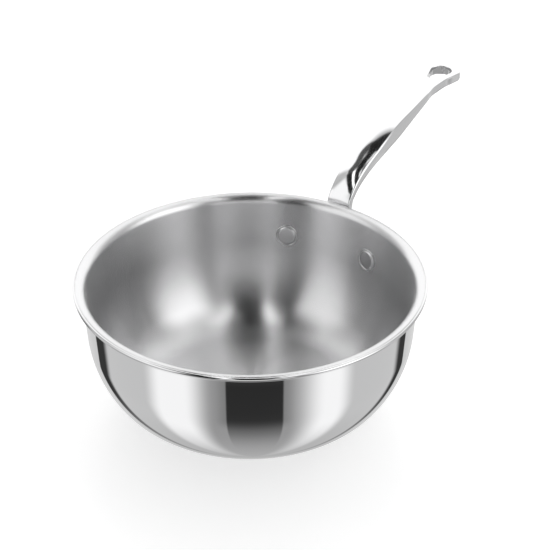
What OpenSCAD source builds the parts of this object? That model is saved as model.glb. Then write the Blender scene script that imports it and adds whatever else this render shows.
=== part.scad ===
// Saucier pan: a three-layer clad bowl with a rounded base and a flared pouring lip,
// and a long cast handle held on the wall by two solid rivets.
// The origin is the centre of the base, Z is up and the handle points along +X.

/* [Bowl] */
// Width of the flat base, outside
base_d = 113.4; // [108:0.2:118]
// Height from the base to the top of the lip
pan_h = 85.5; // [82:0.5:90]
// Outer radius of the bend round the base
corner_r = 38; // [34:1:42]
// Angle through which that bend turns up, in degrees
corner_turn = 54.5; // [50:0.5:60]
// Outer radius of the belly above it
belly_r = 70.5; // [66:0.5:74]
// Angle of the straight wall above the belly, in degrees from level
wall_turn = 86; // [84:0.5:88]

/* [Layers] */
// Thickness of each stainless skin
skin_t = 0.5; // [0.4:0.1:0.7]
// Thickness of the aluminium core
core_t = 1.6; // [1.2:0.1:2]

/* [Lip] */
// Radius of the bend under the lip
lip_bend_r = 2.5; // [2:0.5:4]
// Level stretch of the lip beyond its bend
lip_flat = 1.4; // [0.5:0.1:3]

/* [Rivets] */
// Depth of the rivets below the top of the lip
rivet_drop = 27; // [25:1:29]
// Angle round the bowl from the handle to each rivet
rivet_angle = 18; // [16:1:20]
// Diameter of a rivet's shank
rivet_d = 6.4; // [5:0.1:8]
// Diameter of the wide head inside the bowl
inner_head_d = 15; // [12:0.5:16]
// Diameter of the closed head outside
outer_head_d = 11; // [9:0.5:12]
// Height of both heads
head_h = 1; // [0.6:0.1:1.5]

/* [Handle] */
// Thickness of the flange on the wall
flange_t = 3.2; // [2.5:0.1:4]
// Radius of the flange's round end about each rivet
lobe_r = 10; // [9:0.5:12]
// Height of the level part of the handle above the lip
handle_rise = 38.5; // [34:0.5:44]
// Distance from the bowl's axis to the centre of the handle's round end
eye_x = 256.5; // [245:0.5:265]
// Radius of the round end
eye_r = 13; // [12:0.1:14]
// Thickness of the flat end
eye_t = 6.5; // [5:0.5:8]

/* [Hanging hole] */
// Diameter of the hole's wide end
hole_wide_d = 15; // [13:0.5:17]
// Diameter of its narrow end, on the bowl's side
hole_narrow_d = 9.4; // [8:0.1:11]
// Distance between the centres of its two ends
hole_span = 10.7; // [8:0.1:12]
// Distance from the centre of the round end back to the hole's wide end
hole_back = 1.8; // [0:0.1:2.5]

/* [Hidden] */
$fn = 96;

wall_t = core_t + 2 * skin_t;
base_r = base_d / 2;
sweep_h = 2 * pan_h;

// Points on the outer profile, as [radius, height]
corner_c = [base_r, corner_r];
belly_c = corner_c + (belly_r - corner_r) * [-sin(corner_turn), cos(corner_turn)];
wall_out = [sin(wall_turn), -cos(wall_turn)];
wall_up = [cos(wall_turn), sin(wall_turn)];
wall_start = belly_c + belly_r * wall_out;
bend_z = pan_h - wall_t - lip_bend_r;
wall_l = (bend_z - lip_bend_r * wall_out[1] - wall_start[1]) / wall_up[1];
wall_end = wall_start + wall_l * wall_up;
bend_c = wall_end + lip_bend_r * wall_out;
lip_c = [bend_c[0] + lip_flat, pan_h - wall_t / 2];
lip_r = lip_c[0] + wall_t / 2;

rivet_z = pan_h - rivet_drop;
rivet_base = wall_start + (rivet_z - wall_start[1]) / wall_up[1] * wall_up;

// Sections of the handle, from inside the flange to the centre of the round end, as
// [distance past the lip, height of the upper edges above it, width, thickness, crown]
eye_reach = eye_x - lip_r;
neck_sections = [
    [-5.1, -24, 26, 2.2, 0],
    [-4.2, -16, 21, 3.2, 0],
    [-1, -7, 18, 4.4, 0],
    [1.5, 2.7, 16.6, 5.4, 0.3],
    [5.5, 7.9, 16.6, 5.9, 0.9],
    [13.5, 14.1, 16.9, 6.5, 1.5]
];
grip_sections = [
    [26, 20.4, 17.9, 7.6, 1.6],
    [42, 27.8, 21.3, 9.2, 1.6],
    [62, 34.3, 22.2, 11.4, 1.2],
    [84, 37.3, 22.4, 9, 0.8],
    [104, handle_rise + 0.3, 20.6, 7.2, 0.4]
];
waist_sections = [
    [eye_reach - 32, handle_rise, 17.6, eye_t, 0.1],
    [eye_reach - 22, handle_rise, 18.2, eye_t, 0],
    [eye_reach - 14, handle_rise, 19.6, eye_t, 0],
    [eye_reach - 7, handle_rise, 23, eye_t, 0],
    [eye_reach, handle_rise, 2 * eye_r, eye_t, 0]
];
sections = concat(neck_sections, grip_sections, waist_sections);
upper_edge_r = 1.1;
lower_edge_r = 1.6;

// Steps along each span between sections, the round end, an edge, a crown and an arc
span_steps = 5;
tip_steps = 8;
corner_steps = 3;
crown_steps = 6;
arc_steps = 8;
hole_steps = 24;

// Length of a cutter that passes through the wall and the flange
cutter_l = 40;

// Points along an arc about a centre
function arc(centre, r, from, to, steps = arc_steps) = [
    for (i = [0 : steps])
        let (a = from + (to - from) * i / steps)
        centre + r * [cos(a), sin(a)]
];

// Belly and straight wall, at one depth inward from the outer surface
function wall_line(depth) =
    concat(
        arc(belly_c, belly_r - depth, corner_turn - 90, wall_turn - 90),
        [wall_end - depth * wall_out]
    );

// Whole wall from the middle of the base to the end of the lip's level stretch
function layer_line(depth) =
    concat(
        [[0, depth]],
        arc(corner_c, corner_r - depth, -90, corner_turn - 90),
        wall_line(depth),
        arc(bend_c, lip_bend_r + depth, 90 + wall_turn, 90),
        [[lip_c[0], bend_z + lip_bend_r + depth]]
    );

function reversed(list) = [for (i = [len(list) - 1 : -1 : 0]) list[i]];

// Half of a round bead on the lip's end, from its underside to its top
function lip_bead(r) = arc(lip_c, r, -90, 90);

// Turns a child that lies along +X so that it points out through one rivet
module at_rivet(side) {
    rotate([0, 0, side * rivet_angle])
        translate([rivet_base[0], 0, rivet_base[1]])
            rotate([0, 90, 0])
                children();
}

module rivet_cutter(side, d) {
    at_rivet(side) cylinder(h = cutter_l, d = d, center = true);
}

module rivet_holes() {
    for (side = [-1, 1])
        rivet_cutter(side, rivet_d);
}

module outer_skin() {
    color("gainsboro")
        difference() {
            rotate_extrude()
                polygon(concat(
                    layer_line(0),
                    lip_bead(wall_t / 2),
                    reversed(lip_bead(core_t / 2)),
                    reversed(layer_line(skin_t))
                ));
            rivet_holes();
        }
}

module core() {
    color("darkgray")
        difference() {
            rotate_extrude()
                polygon(concat(
                    layer_line(skin_t),
                    lip_bead(core_t / 2),
                    reversed(layer_line(wall_t - skin_t))
                ));
            rivet_holes();
        }
}

module inner_skin() {
    color("silver")
        difference() {
            rotate_extrude()
                polygon(concat(layer_line(wall_t - skin_t), reversed(layer_line(wall_t))));
            rivet_holes();
        }
}

// Plate of even thickness that follows the belly and wall, between two depths
module wall_plate(near, far) {
    rotate_extrude()
        polygon(concat(wall_line(near), reversed(wall_line(far))));
}

// Outline of the flange's web, seen from outside: a level band between the rivets
// that rises through a round fillet into the neck
module web_outline() {
    band_h = 17;
    fillet_r = 14;
    neck_half = 9;
    rise_h = 18;
    reach = rivet_base[0] * sin(rivet_angle);
    translate([-reach, -band_h / 2]) square([2 * reach, band_h]);
    difference() {
        translate([-neck_half - fillet_r, 0]) square([2 * (neck_half + fillet_r), rise_h]);
        for (side = [-1, 1])
            translate([side * (neck_half + fillet_r), band_h / 2 + fillet_r]) circle(fillet_r);
    }
}

// Flange: a plate of even thickness that lies on the outer skin
module flange() {
    intersection() {
        wall_plate(-flange_t, 0);
        union() {
            translate([0, 0, rivet_z])
                rotate([90, 0, 90])
                    linear_extrude(height = sweep_h) web_outline();
            for (side = [-1, 1])
                rivet_cutter(side, 2 * lobe_r);
        }
    }
}

// Smooth curve through the sections: a Catmull-Rom blend of four neighbours
function blend(a, b, c, d, u) =
    0.5 * (2 * b + u * (c - a) + u * u * (2 * a - 5 * b + 4 * c - d)
        + u * u * u * (3 * b - a - 3 * c + d));
last = len(sections) - 1;
function section_at(k, u) =
    blend(sections[max(k - 1, 0)], sections[k], sections[k + 1], sections[min(k + 2, last)], u);
path = concat(
    [for (k = [0 : last - 1], i = [0 : span_steps - 1]) section_at(k, i / span_steps)],
    [sections[last]]
);

// Round end: the width follows a circle, and the thickness thins over the last edge
tip_turn = 88;
function edge_loss(gap) =
    gap < upper_edge_r
        ? upper_edge_r - sqrt(pow(upper_edge_r, 2) - pow(upper_edge_r - gap, 2))
        : 0;
tip = [
    for (i = [1 : tip_steps])
        let (
            a = tip_turn * i / tip_steps,
            loss = edge_loss(eye_r * (1 - sin(a)))
        )
        [
            eye_reach + eye_r * sin(a),
            handle_rise - loss,
            2 * eye_r * cos(a),
            eye_t - 2 * loss,
            0
        ]
];
stations = concat(path, tip);

// Direction of the upper line at one station, in the handle's upright plane
function direction(i) =
    let (
        before = stations[max(i - 1, 0)],
        after = stations[min(i + 1, len(path) - 1)],
        run = i < len(path) - 1 ? [after[0] - before[0], after[1] - before[1]] : [1, 0]
    )
    run / norm(run);

// Section with a crowned top and rounded edges, as [across, down] points
function section_points(width, thickness, crown) =
    let (
        up = min(upper_edge_r, 0.45 * width, 0.45 * thickness),
        low = min(lower_edge_r, 0.45 * width, 0.45 * thickness),
        lean = atan(4 * crown / width),
        half = width / 2,
        top_half = half - up + up * sin(lean),
        top_depth = up - up * cos(lean),
        rise = top_half * tan(lean) / 2
    )
    concat(
        arc([half - low, thickness - low], low, 0, 90, corner_steps),
        arc([low - half, thickness - low], low, 90, 180, corner_steps),
        arc([up - half, up], up, 180, 270 - lean, corner_steps),
        [
            for (j = [1 : crown_steps - 1])
                let (across = top_half * (2 * j / crown_steps - 1))
                [across, top_depth - rise * (1 - pow(across / top_half, 2))]
        ],
        arc([half - up, up], up, lean - 90, 0, corner_steps)
    );

// Body of the handle: rings of section points joined by triangles
module handle_body() {
    ring_size = crown_steps - 1 + 4 * (corner_steps + 1);
    rings = len(stations);
    points = [
        for (i = [0 : rings - 1])
            let (s = stations[i], run = direction(i))
            for (p = section_points(s[2], s[3], s[4]))
                [lip_r + s[0] + p[1] * run[1], -p[0], pan_h + s[1] - p[1] * run[0]]
    ];
    sides = [
        for (i = [0 : rings - 2], j = [0 : ring_size - 1])
            let (
                a = i * ring_size + j,
                b = i * ring_size + (j + 1) % ring_size
            )
            each [[a, a + ring_size, b], [b, a + ring_size, b + ring_size]]
    ];
    first_cap = [for (j = [1 : ring_size - 2]) [0, j, j + 1]];
    end = (rings - 1) * ring_size;
    last_cap = [for (j = [1 : ring_size - 2]) [end, end + j + 1, end + j]];
    polyhedron(points, concat(sides, first_cap, last_cap), convexity = 6);
}

// Hanging hole: a teardrop with a wide round end and a narrow one, joined by tangents
module hanging_hole() {
    wide_r = hole_wide_d / 2;
    narrow_r = hole_narrow_d / 2;
    tangent = acos(-(wide_r - narrow_r) / hole_span);
    translate([eye_x - hole_back, 0, pan_h])
        linear_extrude(height = 2 * handle_rise)
            polygon(concat(
                arc([0, 0], wide_r, -tangent, tangent, hole_steps),
                arc([-hole_span, 0], narrow_r, tangent, 360 - tangent, hole_steps)
            ));
}

module handle() {
    color("whitesmoke")
        difference() {
            union() {
                flange();
                handle_body();
            }
            rivet_holes();
            hanging_hole();
        }
}

// Solid rivet: a shank with a low head pressed to the curve of the wall at each end
module rivet(side) {
    color("lightgray")
        union() {
            intersection() {
                wall_plate(wall_t, wall_t + head_h);
                rivet_cutter(side, inner_head_d);
            }
            intersection() {
                wall_plate(-flange_t - head_h, -flange_t);
                rivet_cutter(side, outer_head_d);
            }
            at_rivet(side)
                translate([0, 0, -wall_t - head_h / 2])
                    cylinder(h = wall_t + flange_t + head_h, d = rivet_d);
        }
}

module rivet_left() { rivet(1); }
module rivet_right() { rivet(-1); }

outer_skin();
core();
inner_skin();
handle();
rivet_left();
rivet_right();
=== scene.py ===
from math import acos, atan, cos, pi, radians, sin, sqrt, tan

import bmesh
import bpy
from mathutils import Matrix, Vector


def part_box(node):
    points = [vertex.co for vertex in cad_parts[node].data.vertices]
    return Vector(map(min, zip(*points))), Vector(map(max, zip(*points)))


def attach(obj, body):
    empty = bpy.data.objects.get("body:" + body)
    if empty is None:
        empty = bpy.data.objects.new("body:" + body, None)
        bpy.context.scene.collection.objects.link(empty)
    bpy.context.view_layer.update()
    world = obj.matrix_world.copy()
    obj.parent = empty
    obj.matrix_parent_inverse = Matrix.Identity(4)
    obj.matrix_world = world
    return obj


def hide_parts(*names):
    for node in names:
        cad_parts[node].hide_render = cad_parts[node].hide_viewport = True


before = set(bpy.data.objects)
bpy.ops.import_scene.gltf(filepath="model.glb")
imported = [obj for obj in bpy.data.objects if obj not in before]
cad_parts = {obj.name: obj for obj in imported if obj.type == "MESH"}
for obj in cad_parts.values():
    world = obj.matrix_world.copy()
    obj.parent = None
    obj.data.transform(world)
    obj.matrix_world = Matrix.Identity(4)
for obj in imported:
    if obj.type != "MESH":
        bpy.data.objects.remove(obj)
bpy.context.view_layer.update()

# Sizes in millimetres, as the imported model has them: bowl
MM = 0.001
base_r = 56.7
pan_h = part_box("outer_skin")[1].z / MM
corner_r = 38
corner_turn = radians(54.5)
belly_r = 70.5
wall_turn = radians(86)
skin_t = 0.5
core_t = 1.6
wall_t = core_t + 2 * skin_t
lip_bend_r = 2.5
lip_flat = 1.4

# Rivets
rivet_z = pan_h - 27
rivet_angle = radians(18)
rivet_d = 6.4
inner_head_d = 15
outer_head_d = 11
head_h = 1
sunk = 0.2

# Flange
flange_t = 3.2
lobe_r = 10
band_h = 17
fillet_r = 14
neck_half = 9
web_rise = 18
flange_edge_r = 1.3
flange_edge_support = 0.4

# Handle and its flat round end
handle_rise = 38.5
eye_x = 256.5
eye_r = 13
eye_t = 6.5
hole_wide_r = 7.5
hole_narrow_r = 4.7
hole_span = 10.7
hole_back = 1.8
hole_rim_r = 0.5
upper_edge_r = 1.1
lower_edge_r = 1.6
edge_share = 0.45
support = 0.35

# Numbers of steps along the round stretches
base_steps = 12
corner_steps = 36
belly_steps = 20
wall_steps = 6
bend_steps = 16
bead_steps = 20
bowl_turns = 256
rivet_turns = 96
lobe_steps = 40
fillet_steps = 16
flange_edge_steps = 8
span_steps = 10
edge_steps = 6
crown_steps = 12
eye_steps = 64
wide_steps = 48
narrow_steps = 32
rim_steps = 5

# Camera, as the photograph's outline gives it: pixels, millimetres and radians
image_size = 550
focal_px = 1600
sensor_mm = 36
camera_pitch = radians(31.63)
camera_height = pan_h + 511.2
camera_back = 828.0
camera_aside = 15.0
handle_turn = radians(58.5)
nearest_m = 0.01
farthest_m = 50
floor_size_m = 12


# Camera
def turned(x, y, z):
    """A point given from the photographer's side, with y away from them, in the row frame."""
    return Matrix.Rotation(-handle_turn, 4, "Z") @ Vector((x, y, z))


def make_camera():
    data = bpy.data.cameras.new("camera")
    data.sensor_width = sensor_mm
    data.lens = focal_px / image_size * sensor_mm
    data.clip_start = nearest_m
    data.clip_end = farthest_m
    camera = bpy.data.objects.new("camera", data)
    bpy.context.collection.objects.link(camera)
    camera.location = turned(camera_aside * MM, -camera_back * MM, camera_height * MM)
    look = turned(0, cos(camera_pitch), -sin(camera_pitch))
    camera.rotation_mode = "QUATERNION"
    camera.rotation_quaternion = look.to_track_quat("-Z", "Y")
    bpy.context.scene.camera = camera


# Shader nodes
class Graph:
    """Adds nodes to one tree; sockets and plain numbers may be mixed as inputs."""

    def __init__(self, tree):
        self.tree = tree

    def add(self, kind, **settings):
        node = self.tree.nodes.new(kind)
        for key, value in settings.items():
            setattr(node, key, value)
        return node

    def feed(self, node, *values):
        """Fills a node's inputs in order, leaving out those given as None."""
        for socket, value in zip(node.inputs, values):
            if isinstance(value, bpy.types.NodeSocket):
                self.tree.links.new(value, socket)
            elif value is not None:
                socket.default_value = value
        return node.outputs[0]

    def math(self, operation, *values):
        return self.feed(self.add("ShaderNodeMath", operation=operation), *values)

    def both(self, a, b):
        return self.math("MULTIPLY", a, b)

    def step(self, value, start, end):
        """0 before start and 1 after end, with a soft change between them."""
        node = self.add("ShaderNodeMapRange", interpolation_type="SMOOTHSTEP")
        return self.feed(node, value, start, end, 0.0, 1.0)

    def window(self, value, low, high, soft_low, soft_high):
        """1 between low and high, fading out over soft_low before and soft_high after."""
        rise = self.step(value, low - soft_low, low)
        fall = self.step(value, high, high + soft_high)
        return self.both(rise, self.math("SUBTRACT", 1.0, fall))

    def mix(self, share, a, b):
        node = self.add("ShaderNodeMix", data_type="FLOAT")
        return self.feed(node, share, None, a, b)


# The studio, as the reflections see it. Angles are in degrees. Azimuth 0 is the photographer,
# positive to their right. Reach is the distance along the table over the height above it.
# Each group is painted over what comes before it.

# Below the horizon: [azimuth from, to, fade before, fade after, brightness]
LOW_CARDS = {
    "front_fill": [-38, 46, 2, 2, 0.45],
    "left_soft_box": [-53, -38, 14, 18, 1.37],
    "right_soft_box": [45, 52, 24, 14, 1.38],
    "left_stand": [-124.3, -112, 1.2, 9, 0.05],
    "right_stand": [118, 127.5, 10, 1.2, 0.05],
}
# The photographer: [azimuth from, to, fade before, fade after, reach from, full from, brightness]
FIGURE = {
    "shade": [-13, 17, 9, 9, 0.9, 1.3, 0.31],
    "body": [-12.6, 17.6, 1.2, 1.4, 0.2, 1.5, 0.03],
}
# The table close to the pan: [reach full to, none from, brightness]
NEAR_TABLE = [-0.1, 0.9, 0.58]
# The sweep beyond the pan: [angle from the front, full from, elevation from, full from, brightness]
LOW_SWEEP = [105, 150, -28, -5, 1.5]
# Nearer the horizon: [azimuth from, to, fade, elevation from, full from, brightness]
LOW_BANDS = {
    "far_table": [-80, 80, 12, -38, -34, 0.45],
    "right_table": [100, 128, 10, -33, -30, 0.68],
}

# Above the horizon, the sweep and the ceiling:
# [angle from the front, full from, elevation from, to, fade, brightness]
HIGH_SWEEP = [98, 128, -20, 61, 8, 1.5]
# [elevation from, full from, brightness]
CEILING = [44, 58, 0.71]
# Cards and dark gaps: [azimuth from, to, fade, elevation from, to, fade, brightness]
HIGH_CARDS = {
    "left_dip": [-121, -109, 15, -5, 56, 8, 0.68],
    "right_dip": [103, 120, 17, 6, 62, 9, 0.65],
    "left_soft_box": [-84, -54, 22, -5, 56, 8, 1.35],
    "right_soft_box": [52, 79, 21, -10, 51, 9, 2.0],
    "right_shade": [4, 20, 8, 18, 42, 4, 0.07],
    "front_low": [-15, 23, 7, -8, 19, 3, 1.36],
    "left_gap": [-39, -22, 7, 9, 53, 7, 0.02],
}
# Things overhead, on a plane one unit up: [right from, to, away from, to, fade, brightness]
OVERHEAD = {
    "left_bar": [-0.52, -0.24, -0.50, 0.19, 0.03, 0.02],
    "far_bar": [-0.46, -0.14, 0.18, 0.36, 0.04, 0.10],
    "front_bar": [-0.15, 0.25, -1.9, -0.60, 0.05, 0.02],
    "middle_bar": [-0.12, 0.17, -1.9, 0.36, 0.02, 0.02],
    "left_tube": [-0.22, -0.13, -0.58, 0.12, 0.02, 2.3],
    "right_tube": [0.19, 0.29, -0.50, 0.16, 0.02, 2.2],
    "short_tube": [0.08, 0.10, -0.12, 0.0, 0.02, 1.5],
}
low_side = 0.78
high_side = 0.34
horizon_from = -6
horizon_to = 8
ground_focus = 0.35
least_depth = 0.01
least_height = 0.05

# The light on the table, which doesn't come from the cards
room_light = 0.6
room_lean_away = 0.9
room_lean_right = 0.2
table_light = 0.56


def photographer_axes(g):
    """A ray's direction as the photographer has it: right, away and up."""
    turn = g.add("ShaderNodeVectorRotate", rotation_type="Z_AXIS")
    g.tree.links.new(g.add("ShaderNodeTexCoord").outputs["Generated"], turn.inputs["Vector"])
    turn.inputs["Angle"].default_value = handle_turn
    split = g.add("ShaderNodeSeparateXYZ")
    g.tree.links.new(turn.outputs[0], split.inputs[0])
    return split.outputs


def low_light(g, azimuth, elevation, reach):
    """Brightness below the horizon."""
    light = low_side
    for start, end, before, after, brightness in LOW_CARDS.values():
        light = g.mix(g.window(azimuth, start, end, before, after), light, brightness)
    for start, end, before, after, near, full, brightness in FIGURE.values():
        card = g.both(g.window(azimuth, start, end, before, after), g.step(reach, near, full))
        light = g.mix(card, light, brightness)
    near, full, brightness = NEAR_TABLE
    light = g.mix(g.step(reach, near, full), brightness, light)
    start, full, bottom, full_up, brightness = LOW_SWEEP
    sweep = g.both(g.step(g.math("ABSOLUTE", azimuth), start, full), g.step(elevation, bottom, full_up))
    light = g.mix(sweep, light, brightness)
    for start, end, fade, bottom, full, brightness in LOW_BANDS.values():
        band = g.both(g.window(azimuth, start, end, fade, fade), g.step(elevation, bottom, full))
        light = g.mix(band, light, brightness)
    return light


def high_light(g, azimuth, elevation, right, away):
    """Brightness above the horizon; right and away are on a plane one unit up."""
    start, full, brightness = CEILING
    light = g.mix(g.step(elevation, start, full), high_side, brightness)
    start, full, bottom, top, fade, brightness = HIGH_SWEEP
    sweep = g.both(
        g.step(g.math("ABSOLUTE", azimuth), start, full),
        g.window(elevation, bottom, top, fade, fade),
    )
    light = g.mix(sweep, light, brightness)
    for start, end, fade, bottom, top, fade_up, brightness in HIGH_CARDS.values():
        card = g.both(
            g.window(azimuth, start, end, fade, fade),
            g.window(elevation, bottom, top, fade_up, fade_up),
        )
        light = g.mix(card, light, brightness)
    for from_x, to_x, from_y, to_y, fade, brightness in OVERHEAD.values():
        card = g.both(
            g.window(right, from_x, to_x, fade, fade),
            g.window(away, from_y, to_y, fade, fade),
        )
        light = g.mix(card, light, brightness)
    return light


def make_world():
    world = bpy.data.worlds.new("studio")
    bpy.context.scene.world = world
    world.use_nodes = True
    g = Graph(world.node_tree)
    x, y, z = photographer_axes(g)
    degree = 180 / pi
    elevation = g.math("MULTIPLY", g.math("ARCSINE", z), degree)

    # Below the horizon the cards lead to a point on the table a little beyond the pan
    depth = g.math("MAXIMUM", g.math("MULTIPLY", z, -1.0), 0.0)
    toward = g.math("SUBTRACT", g.math("MULTIPLY", depth, ground_focus), y)
    azimuth = g.math("MULTIPLY", g.math("ARCTAN2", x, toward), degree)
    spread = g.math("SQRT", g.math("ADD", g.math("POWER", x, 2.0), g.math("POWER", toward, 2.0)))
    reach = g.math("DIVIDE", spread, g.math("MAXIMUM", depth, least_depth))
    height = g.math("MAXIMUM", z, least_height)
    right = g.math("DIVIDE", x, height)
    away = g.math("DIVIDE", y, height)
    low = low_light(g, azimuth, elevation, reach)
    high = high_light(g, azimuth, elevation, right, away)
    light = g.mix(g.step(elevation, horizon_from, horizon_to), low, high)

    # Only reflections see the studio; the table is lit softly, more from behind the pan
    room = g.math("MULTIPLY_ADD", y, room_lean_away * room_light, room_light)
    room = g.math("MULTIPLY_ADD", x, room_lean_right * room_light, room)
    glossy = g.add("ShaderNodeLightPath").outputs["Is Glossy Ray"]
    back = world.node_tree.nodes["Background"]
    g.tree.links.new(g.mix(glossy, room, light), back.inputs["Strength"])
    back.inputs["Color"].default_value = (1, 1, 1, 1)
    bpy.context.scene.view_settings.view_transform = "Standard"


# Finishes: [colour, roughness, metallic]
FINISHES = {
    "polished_steel": [(0.66, 0.66, 0.665), 0.03, 1],
    "cast_steel": [(0.7, 0.7, 0.705), 0.1, 1],
    "satin_steel": [(0.66, 0.66, 0.665), 0.27, 1],
    "rivet_steel": [(0.62, 0.62, 0.625), 0.28, 1],
    "aluminium": [(0.72, 0.72, 0.73), 0.4, 1],
    "floor_white": [(0.86, 0.86, 0.86), 0.35, 0],
}
ripple_scale = 26
ripple_detail = 1.0
ripple_strength = 0.02
ripple_height = 1.0
brushing = 1.0
brushing_turn = 0.25


def new_material(name):
    """A plain material in the finish of that name, and its shader."""
    tone, roughness, metallic = FINISHES[name]
    mat = bpy.data.materials.new(name)
    mat.use_nodes = True
    shader = mat.node_tree.nodes["Principled BSDF"]
    shader.inputs["Base Color"].default_value = (*tone, 1)
    shader.inputs["Roughness"].default_value = roughness
    shader.inputs["Metallic"].default_value = metallic
    return mat, shader


def make_polished(name):
    """A mirror finish with the faint ripple that polishing leaves."""
    mat, shader = new_material(name)
    g = Graph(mat.node_tree)
    noise = g.add("ShaderNodeTexNoise")
    g.tree.links.new(g.add("ShaderNodeTexCoord").outputs["Object"], noise.inputs["Vector"])
    noise.inputs["Scale"].default_value = ripple_scale
    noise.inputs["Detail"].default_value = ripple_detail
    bump = g.add("ShaderNodeBump")
    bump.inputs["Strength"].default_value = ripple_strength
    bump.inputs["Distance"].default_value = ripple_height * MM
    g.tree.links.new(noise.outputs[0], bump.inputs["Height"])
    g.tree.links.new(bump.outputs[0], shader.inputs["Normal"])
    return mat


def make_satin(name):
    """A finish brushed round the axis, which smears reflections up and down the wall."""
    mat, shader = new_material(name)
    shader.inputs["Anisotropic"].default_value = brushing
    shader.inputs["Anisotropic Rotation"].default_value = brushing_turn
    g = Graph(mat.node_tree)
    tangent = g.add("ShaderNodeTangent", direction_type="RADIAL", axis="Z")
    g.tree.links.new(tangent.outputs[0], shader.inputs["Tangent"])
    return mat


# Floor
def make_floor():
    bpy.ops.mesh.primitive_plane_add(size=floor_size_m)
    floor = bpy.context.object
    floor.name = "floor"
    mat, shader = new_material("floor_white")
    shader.inputs["Emission Color"].default_value = (1, 1, 1, 1)
    shader.inputs["Emission Strength"].default_value = table_light
    floor.data.materials.append(mat)
    floor.visible_glossy = False


# Mesh helpers
def make_object(name, bm, material):
    bmesh.ops.recalc_face_normals(bm, faces=bm.faces)
    for face in bm.faces:
        face.smooth = True
    mesh = bpy.data.meshes.new(name)
    bm.to_mesh(mesh)
    bm.free()
    mesh.materials.append(material)
    obj = bpy.data.objects.new(name, mesh)
    bpy.context.collection.objects.link(obj)
    return obj


def arc(cx, cy, r, start, end, steps):
    """Points along an arc, as (x, y)."""
    angles = [start + (end - start) * i / steps for i in range(steps + 1)]
    return [(cx + r * cos(a), cy + r * sin(a)) for a in angles]


def turns(steps):
    """Angles once round."""
    return [2 * pi * k / steps for k in range(steps)]


def add_tube(bm, rings):
    """Joins closed rings of equal length by quads; returns the rings' vertices."""
    placed = [[bm.verts.new(Vector(p) * MM) for p in ring] for ring in rings]
    count = len(placed[0])
    for a, b in zip(placed, placed[1:]):
        for k in range(count):
            n = (k + 1) % count
            bm.faces.new((a[k], a[n], b[n], b[k]))
    return placed


def lathe(name, outline, material):
    """A closed outline of (radius, height) turned about Z."""
    on_axis = 1e-6
    bm = bmesh.new()
    rings = []
    for r, z in outline:
        if r < on_axis:
            rings.append([bm.verts.new((0, 0, z * MM))] * bowl_turns)
            continue
        rings.append([bm.verts.new(Vector((r * cos(a), r * sin(a), z)) * MM) for a in turns(bowl_turns)])
    for a, b in zip(rings, rings[1:]):
        for k in range(bowl_turns):
            n = (k + 1) % bowl_turns
            corners = list(dict.fromkeys([a[k], a[n], b[n], b[k]]))
            if len(corners) > 2:
                bm.faces.new(corners)
    return make_object(name, bm, material)


# Bowl profile: a flat base, a bend, the belly, a straight wall and the bend under the lip
corner_c = Vector((base_r, corner_r))
belly_c = corner_c + (belly_r - corner_r) * Vector((-sin(corner_turn), cos(corner_turn)))
wall_out = Vector((sin(wall_turn), -cos(wall_turn)))
wall_up = Vector((cos(wall_turn), sin(wall_turn)))
wall_start = belly_c + belly_r * wall_out
bend_z = pan_h - wall_t - lip_bend_r
wall_end = wall_start + (bend_z - lip_bend_r * wall_out.y - wall_start.y) / wall_up.y * wall_up
bend_c = wall_end + lip_bend_r * wall_out
lip_c = Vector((bend_c.x + lip_flat, pan_h - wall_t / 2))
lip_r = lip_c.x + wall_t / 2


def wall_line(depth):
    """Points between the ends of the straight wall, at one depth inward."""
    run = wall_up * (wall_end - wall_start).length
    shares = [i / wall_steps for i in range(1, wall_steps)]
    return [tuple(wall_start + run * share - depth * wall_out) for share in shares]


def layer_line(depth):
    """The bowl's profile at one depth inward from its outer surface, from the axis to the lip."""
    return (
        [(base_r * i / base_steps, depth) for i in range(base_steps)]
        + arc(*corner_c, corner_r - depth, -pi / 2, corner_turn - pi / 2, corner_steps)
        + arc(*belly_c, belly_r - depth, corner_turn - pi / 2, wall_turn - pi / 2, belly_steps)[1:]
        + wall_line(depth)
        + arc(*bend_c, lip_bend_r + depth, pi / 2 + wall_turn, pi / 2, bend_steps)
        + [(lip_c.x, bend_z + lip_bend_r + depth)]
    )


def make_bowl(outside_mat, inside_mat):
    """The outer skin, wrapped round the lip's edge, and the inner skin."""
    bead = arc(*lip_c, wall_t / 2, -pi / 2, pi / 2, bead_steps)
    inner_bead = arc(*lip_c, core_t / 2, pi / 2, -pi / 2, bead_steps)
    outside = lathe(
        "bowl_outside",
        layer_line(0) + bead[1:] + inner_bead + layer_line(skin_t)[::-1][1:],
        outside_mat,
    )
    inside = lathe(
        "bowl_inside",
        layer_line(wall_t - skin_t) + layer_line(wall_t)[::-1],
        inside_mat,
    )
    return outside, inside


# Points on the outer wall, for the flange and the rivets
rivet_r = wall_start.x + (rivet_z - wall_start.y) / tan(wall_turn)


def on_wall(turn, across, up, out):
    """A point at some distance out from the wall: turn is its angle round the bowl, and across
    and up are distances along the wall, up from the rivets' height."""
    z = rivet_z + up
    if z >= wall_start.y:
        foot = wall_start + wall_up * (z - wall_start.y) / wall_up.y
        away = wall_out
    else:
        t = acos((belly_c.y - z) / belly_r)
        away = Vector((sin(t), -cos(t)))
        foot = belly_c + belly_r * away
    r, height = foot + out * away
    around = turn + across / rivet_r
    return Vector((r * cos(around), r * sin(around), height))


# Rivets: a head's profile as [share of its radius, share of its height], with a narrow rim,
# a groove inside it and a slightly domed middle
HEAD_PROFILE = [
    [1, 0], [1, 0.45], [0.98, 0.6], [0.94, 0.66], [0.9, 0.6], [0.87, 0.4], [0.85, 0.4],
    [0.82, 0.55], [0.79, 0.78], [0.75, 0.88], [0.6, 0.95], [0.3, 1], [0.01, 1],
]


def head_rings(radius, seat, top):
    """Rings of a low head between its seat on the wall and its top, as (radius, distance out)."""
    return [(radius * across, seat + (top - seat) * up) for across, up in HEAD_PROFILE]


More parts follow.
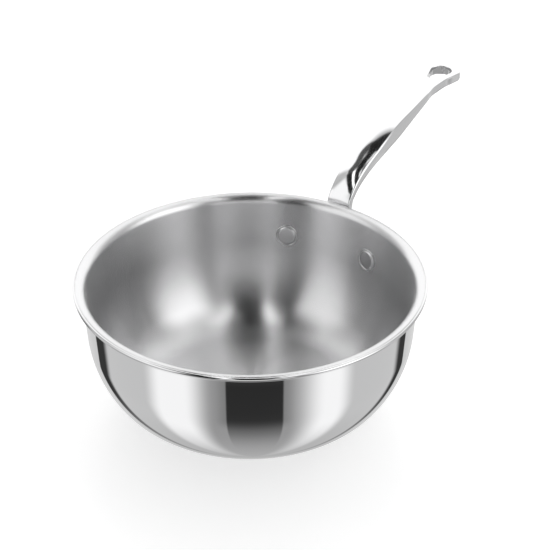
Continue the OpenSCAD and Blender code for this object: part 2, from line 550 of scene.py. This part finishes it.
def make_rivet(name, side, material):
    """Both heads, sunk a little into what they sit on, and the shank."""
    bm = bmesh.new()
    turn = side * rivet_angle
    inner_head = head_rings(inner_head_d / 2, sunk - wall_t, -wall_t - head_h)
    outer_head = head_rings(outer_head_d / 2, flange_t - sunk, flange_t + head_h)
    shank = [(rivet_d / 2, -wall_t), (rivet_d / 2, flange_t)]
    for rings in (inner_head, outer_head, shank):
        placed = add_tube(bm, [
            [on_wall(turn, r * cos(a), r * sin(a), out) for a in turns(rivet_turns)]
            for r, out in rings
        ])
        bm.faces.new(placed[0])
        bm.faces.new(placed[-1])
    return make_object(name, bm, material)


# Flange: a plate on the wall
def flange_outline():
    """Two lobes and the web that rises to the neck, as (along, up) from midway between the rivets."""
    reach = rivet_r * rivet_angle
    side = acos(-sqrt(1 - (band_h / 2 / lobe_r) ** 2))
    fillet_c = (neck_half + fillet_r, band_h / 2 + fillet_r)
    fillet_end = pi + acos(sqrt(1 - ((fillet_c[1] - web_rise) / fillet_r) ** 2))
    half = arc(reach, 0, lobe_r, -side, side, lobe_steps)
    half += arc(*fillet_c, fillet_r, 1.5 * pi, fillet_end, fillet_steps)
    return half + [(-x, y) for x, y in half[::-1]]


def inset(outline, distance):
    """A closed outline moved inward along its own normals."""
    count = len(outline)
    moved = []
    for i, (x, y) in enumerate(outline):
        before = outline[i - 1]
        after = outline[(i + 1) % count]
        run = Vector((after[0] - before[0], after[1] - before[1])).normalized()
        moved.append((x - run.y * distance, y + run.x * distance))
    return moved


def quarter(steps):
    """Angles from 0 to a quarter turn."""
    return [pi / 2 * i / steps for i in range(steps + 1)]


def cut_in_slices(bm, axis, reach, spacing):
    """Cuts the faces across one axis, so that they can bend."""
    along = Vector((0, 0, 0))
    along[axis] = 1
    for k in range(-reach, reach + 1, spacing):
        everything = bm.verts[:] + bm.edges[:] + bm.faces[:]
        bmesh.ops.bisect_plane(bm, geom=everything, plane_co=along * k * MM, plane_no=along)


def make_flange(material):
    """The plate is made flat, with a rounded edge, and then bent round the wall."""
    half_length = 45
    half_height = 20
    spacing = 2
    bm = bmesh.new()
    outline = flange_outline()
    steps = [(0, -sunk)]
    steps += [
        (flange_edge_r * (1 - cos(a)), flange_t - flange_edge_r * (1 - sin(a)))
        for a in quarter(flange_edge_steps)
    ]
    steps.append((flange_edge_r + flange_edge_support, flange_t))
    placed = add_tube(bm, [
        [(x, y, out) for x, y in inset(outline, distance)] for distance, out in steps
    ])
    bm.faces.new(placed[0])
    bm.faces.new(placed[-1])
    cut_in_slices(bm, 0, half_length, spacing)
    cut_in_slices(bm, 1, half_height, spacing)
    for vert in bm.verts:
        x, y, out = vert.co / MM
        vert.co = on_wall(0, x, y, out) * MM
    return make_object("handle_flange", bm, material)


# Handle: sections from inside the flange to the centre of the round end, as
# [distance past the lip, height of the upper edges above it, width, thickness, crown]
eye_reach = eye_x - lip_r
SECTIONS = [
    [-5.1, -24, 26, 2.2, 0],
    [-4.2, -16, 21, 3.2, 0],
    [-1, -7, 18, 4.4, 0],
    [1.5, 2.7, 16.6, 5.4, 0.3],
    [5.5, 7.9, 16.6, 5.9, 0.9],
    [13.5, 14.1, 16.9, 6.5, 1.5],
    [26, 20.4, 17.9, 7.6, 1.6],
    [42, 27.8, 21.3, 9.2, 1.6],
    [62, 34.3, 22.2, 11.4, 1.2],
    [84, 37.3, 22.4, 9, 0.8],
    [104, handle_rise + 0.3, 20.6, 7.2, 0.4],
    [eye_reach - 32, handle_rise, 17.6, eye_t, 0.1],
    [eye_reach - 22, handle_rise, 18.2, eye_t, 0],
    [eye_reach - 14, handle_rise, 19.6, eye_t, 0],
    [eye_reach - 7, handle_rise, 23, eye_t, 0],
    [eye_reach, handle_rise, 2 * eye_r, eye_t, 0],
]
flat_from = 12


def blend(a, b, c, d, u):
    """Catmull-Rom curve from b to c."""
    return [
        0.5 * (2 * q + u * (r - p) + u * u * (2 * p - 5 * q + 4 * r - s) + u**3 * (3 * q - p - 3 * r + s))
        for p, q, r, s in zip(a, b, c, d)
    ]


def handle_path():
    """The sections with smooth steps between them."""
    last = len(SECTIONS) - 1
    path = []
    for k in range(last):
        near = [SECTIONS[min(max(k + i, 0), last)] for i in (-1, 0, 1, 2)]
        path += [blend(*near, i / span_steps) for i in range(span_steps)]
    return path + [SECTIONS[last]]


def section_parts(width, thickness, crown):
    """A crowned section with rounded edges, as (across, down) points: the right edge from the
    top to the bottom, and the top from left to right."""
    up = min(upper_edge_r, edge_share * width, edge_share * thickness)
    low = min(lower_edge_r, edge_share * width, edge_share * thickness)
    lean = atan(4 * crown / width)
    half = width / 2
    top_half = half - up + up * sin(lean)
    rise = top_half * tan(lean) / 2
    edge = arc(half - up, up, up, lean - pi / 2, 0, edge_steps)
    edge += arc(half - low, thickness - low, low, 0, pi / 2, edge_steps)
    edge.append((half - low - support, thickness))
    reach = top_half - support
    across = [reach * (2 * j / crown_steps - 1) for j in range(crown_steps + 1)]
    top = [(a, up - up * cos(lean) - rise * (1 - (a / top_half) ** 2)) for a in across]
    return edge, top


def handle_rings(path):
    """The sections' outlines, each set square to the path."""
    rings = []
    for i, (reach, height, width, thickness, crown) in enumerate(path):
        before = path[max(i - 1, 0)]
        after = path[min(i + 1, len(path) - 1)]
        run = Vector((after[0] - before[0], after[1] - before[1])).normalized()
        edge, top = section_parts(width, thickness, crown)
        ring = edge + [(-a, d) for a, d in edge[::-1]] + top
        rings.append([
            (lip_r + reach + down * run.y, -across, pan_h + height - down * run.x)
            for across, down in ring
        ])
    return rings


def end_outline(path):
    """The flat end's outline from above: along one side, round the end and back."""
    side = [(lip_r + reach, -width / 2) for reach, _, width, _, _ in path]
    outline = side + arc(eye_x, 0, eye_r, -pi / 2, pi / 2, eye_steps)[1:]
    return outline + [(x, -y) for x, y in side[:-1][::-1]]


def teardrop(extra):
    """Outline of the hanging hole, widened by some distance."""
    turn = acos(-(hole_wide_r - hole_narrow_r) / hole_span)
    wide = arc(eye_x - hole_back, 0, hole_wide_r + extra, -turn, turn, wide_steps)
    narrow_x = eye_x - hole_back - hole_span
    narrow = arc(narrow_x, 0, hole_narrow_r + extra, turn, 2 * pi - turn, narrow_steps)
    return wide[1:-1] + narrow


def hole_profile():
    """The hole's wall with its rounded rims, as (distance outward, distance down)."""
    rim = [(hole_rim_r + support, 0)]
    rim += [(hole_rim_r * (1 - cos(a)), hole_rim_r * (1 - sin(a))) for a in quarter(rim_steps)[::-1]]
    return rim + [(x, eye_t - d) for x, d in rim[::-1]]


def loop_edges(bm, verts):
    """The edges round a closed loop of vertices, made where they are missing."""
    pairs = zip(verts, verts[1:] + verts[:1])
    return [bm.edges.get(pair) or bm.edges.new(pair) for pair in pairs]


def make_handle(material):
    """The lofted grip up to the flat end, and the flat end swept round its outline."""
    bm = bmesh.new()
    path = handle_path()
    joint = flat_from * span_steps
    placed = add_tube(bm, handle_rings(path[: joint + 1]))
    bm.faces.new(placed[0])
    top_z = pan_h + handle_rise
    outline = end_outline(path[joint:])
    profile, _ = section_parts(2 * eye_r, eye_t, 0)
    profile = [(eye_r - support - upper_edge_r, 0)] + profile
    edge_size = len(profile)

    # The flat end's edge starts and ends on the grip's last ring
    last = placed[-1]
    top_start = 2 * (edge_size - 1)
    stations = [[last[-1]] + last[: edge_size - 1]]
    for before, (x, y), after in zip(outline, outline[1:], outline[2:]):
        run = Vector((after[0] - before[0], after[1] - before[1])).normalized()
        stations.append([
            bm.verts.new(Vector((x - run.y * (eye_r - a), y + run.x * (eye_r - a), top_z - d)) * MM)
            for a, d in profile
        ])
    stations.append([last[top_start]] + last[edge_size - 1 : top_start][::-1])
    for a, b in zip(stations, stations[1:]):
        for k in range(edge_size - 1):
            bm.faces.new((a[k], a[k + 1], b[k + 1], b[k]))

    # The flat faces between that edge and the hole
    hole = add_tube(bm, [[(x, y, top_z - d) for x, y in teardrop(extra)] for extra, d in hole_profile()])
    upper = loop_edges(bm, [s[0] for s in stations] + last[top_start + 1 : -1])
    lower = loop_edges(bm, [s[-1] for s in stations])
    bmesh.ops.triangle_fill(bm, edges=upper + loop_edges(bm, hole[0]), use_beauty=True)
    bmesh.ops.triangle_fill(bm, edges=lower + loop_edges(bm, hole[-1]), use_beauty=True)
    return make_object("handle_casting", bm, material)


def build():
    make_camera()
    make_floor()
    make_world()
    polished_steel = make_polished("polished_steel")
    cast_steel = make_polished("cast_steel")
    satin_steel = make_satin("satin_steel")
    rivet_steel, _ = new_material("rivet_steel")
    aluminium, _ = new_material("aluminium")
    outside, inside = make_bowl(polished_steel, satin_steel)
    pieces = [
        (outside, "outer_skin", "polished_steel"),
        (inside, "inner_skin", "satin_steel"),
        (make_handle(cast_steel), "handle", "cast_steel"),
        (make_flange(cast_steel), "handle", "cast_steel"),
        (make_rivet("rivet_head_left", 1, rivet_steel), "rivet_left", "rivet_steel"),
        (make_rivet("rivet_head_right", -1, rivet_steel), "rivet_right", "rivet_steel"),
    ]
    for piece, node, slot in pieces:
        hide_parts(node)
        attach(piece, "root")
    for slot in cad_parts["core"].material_slots:
        slot.material = aluminium


build()
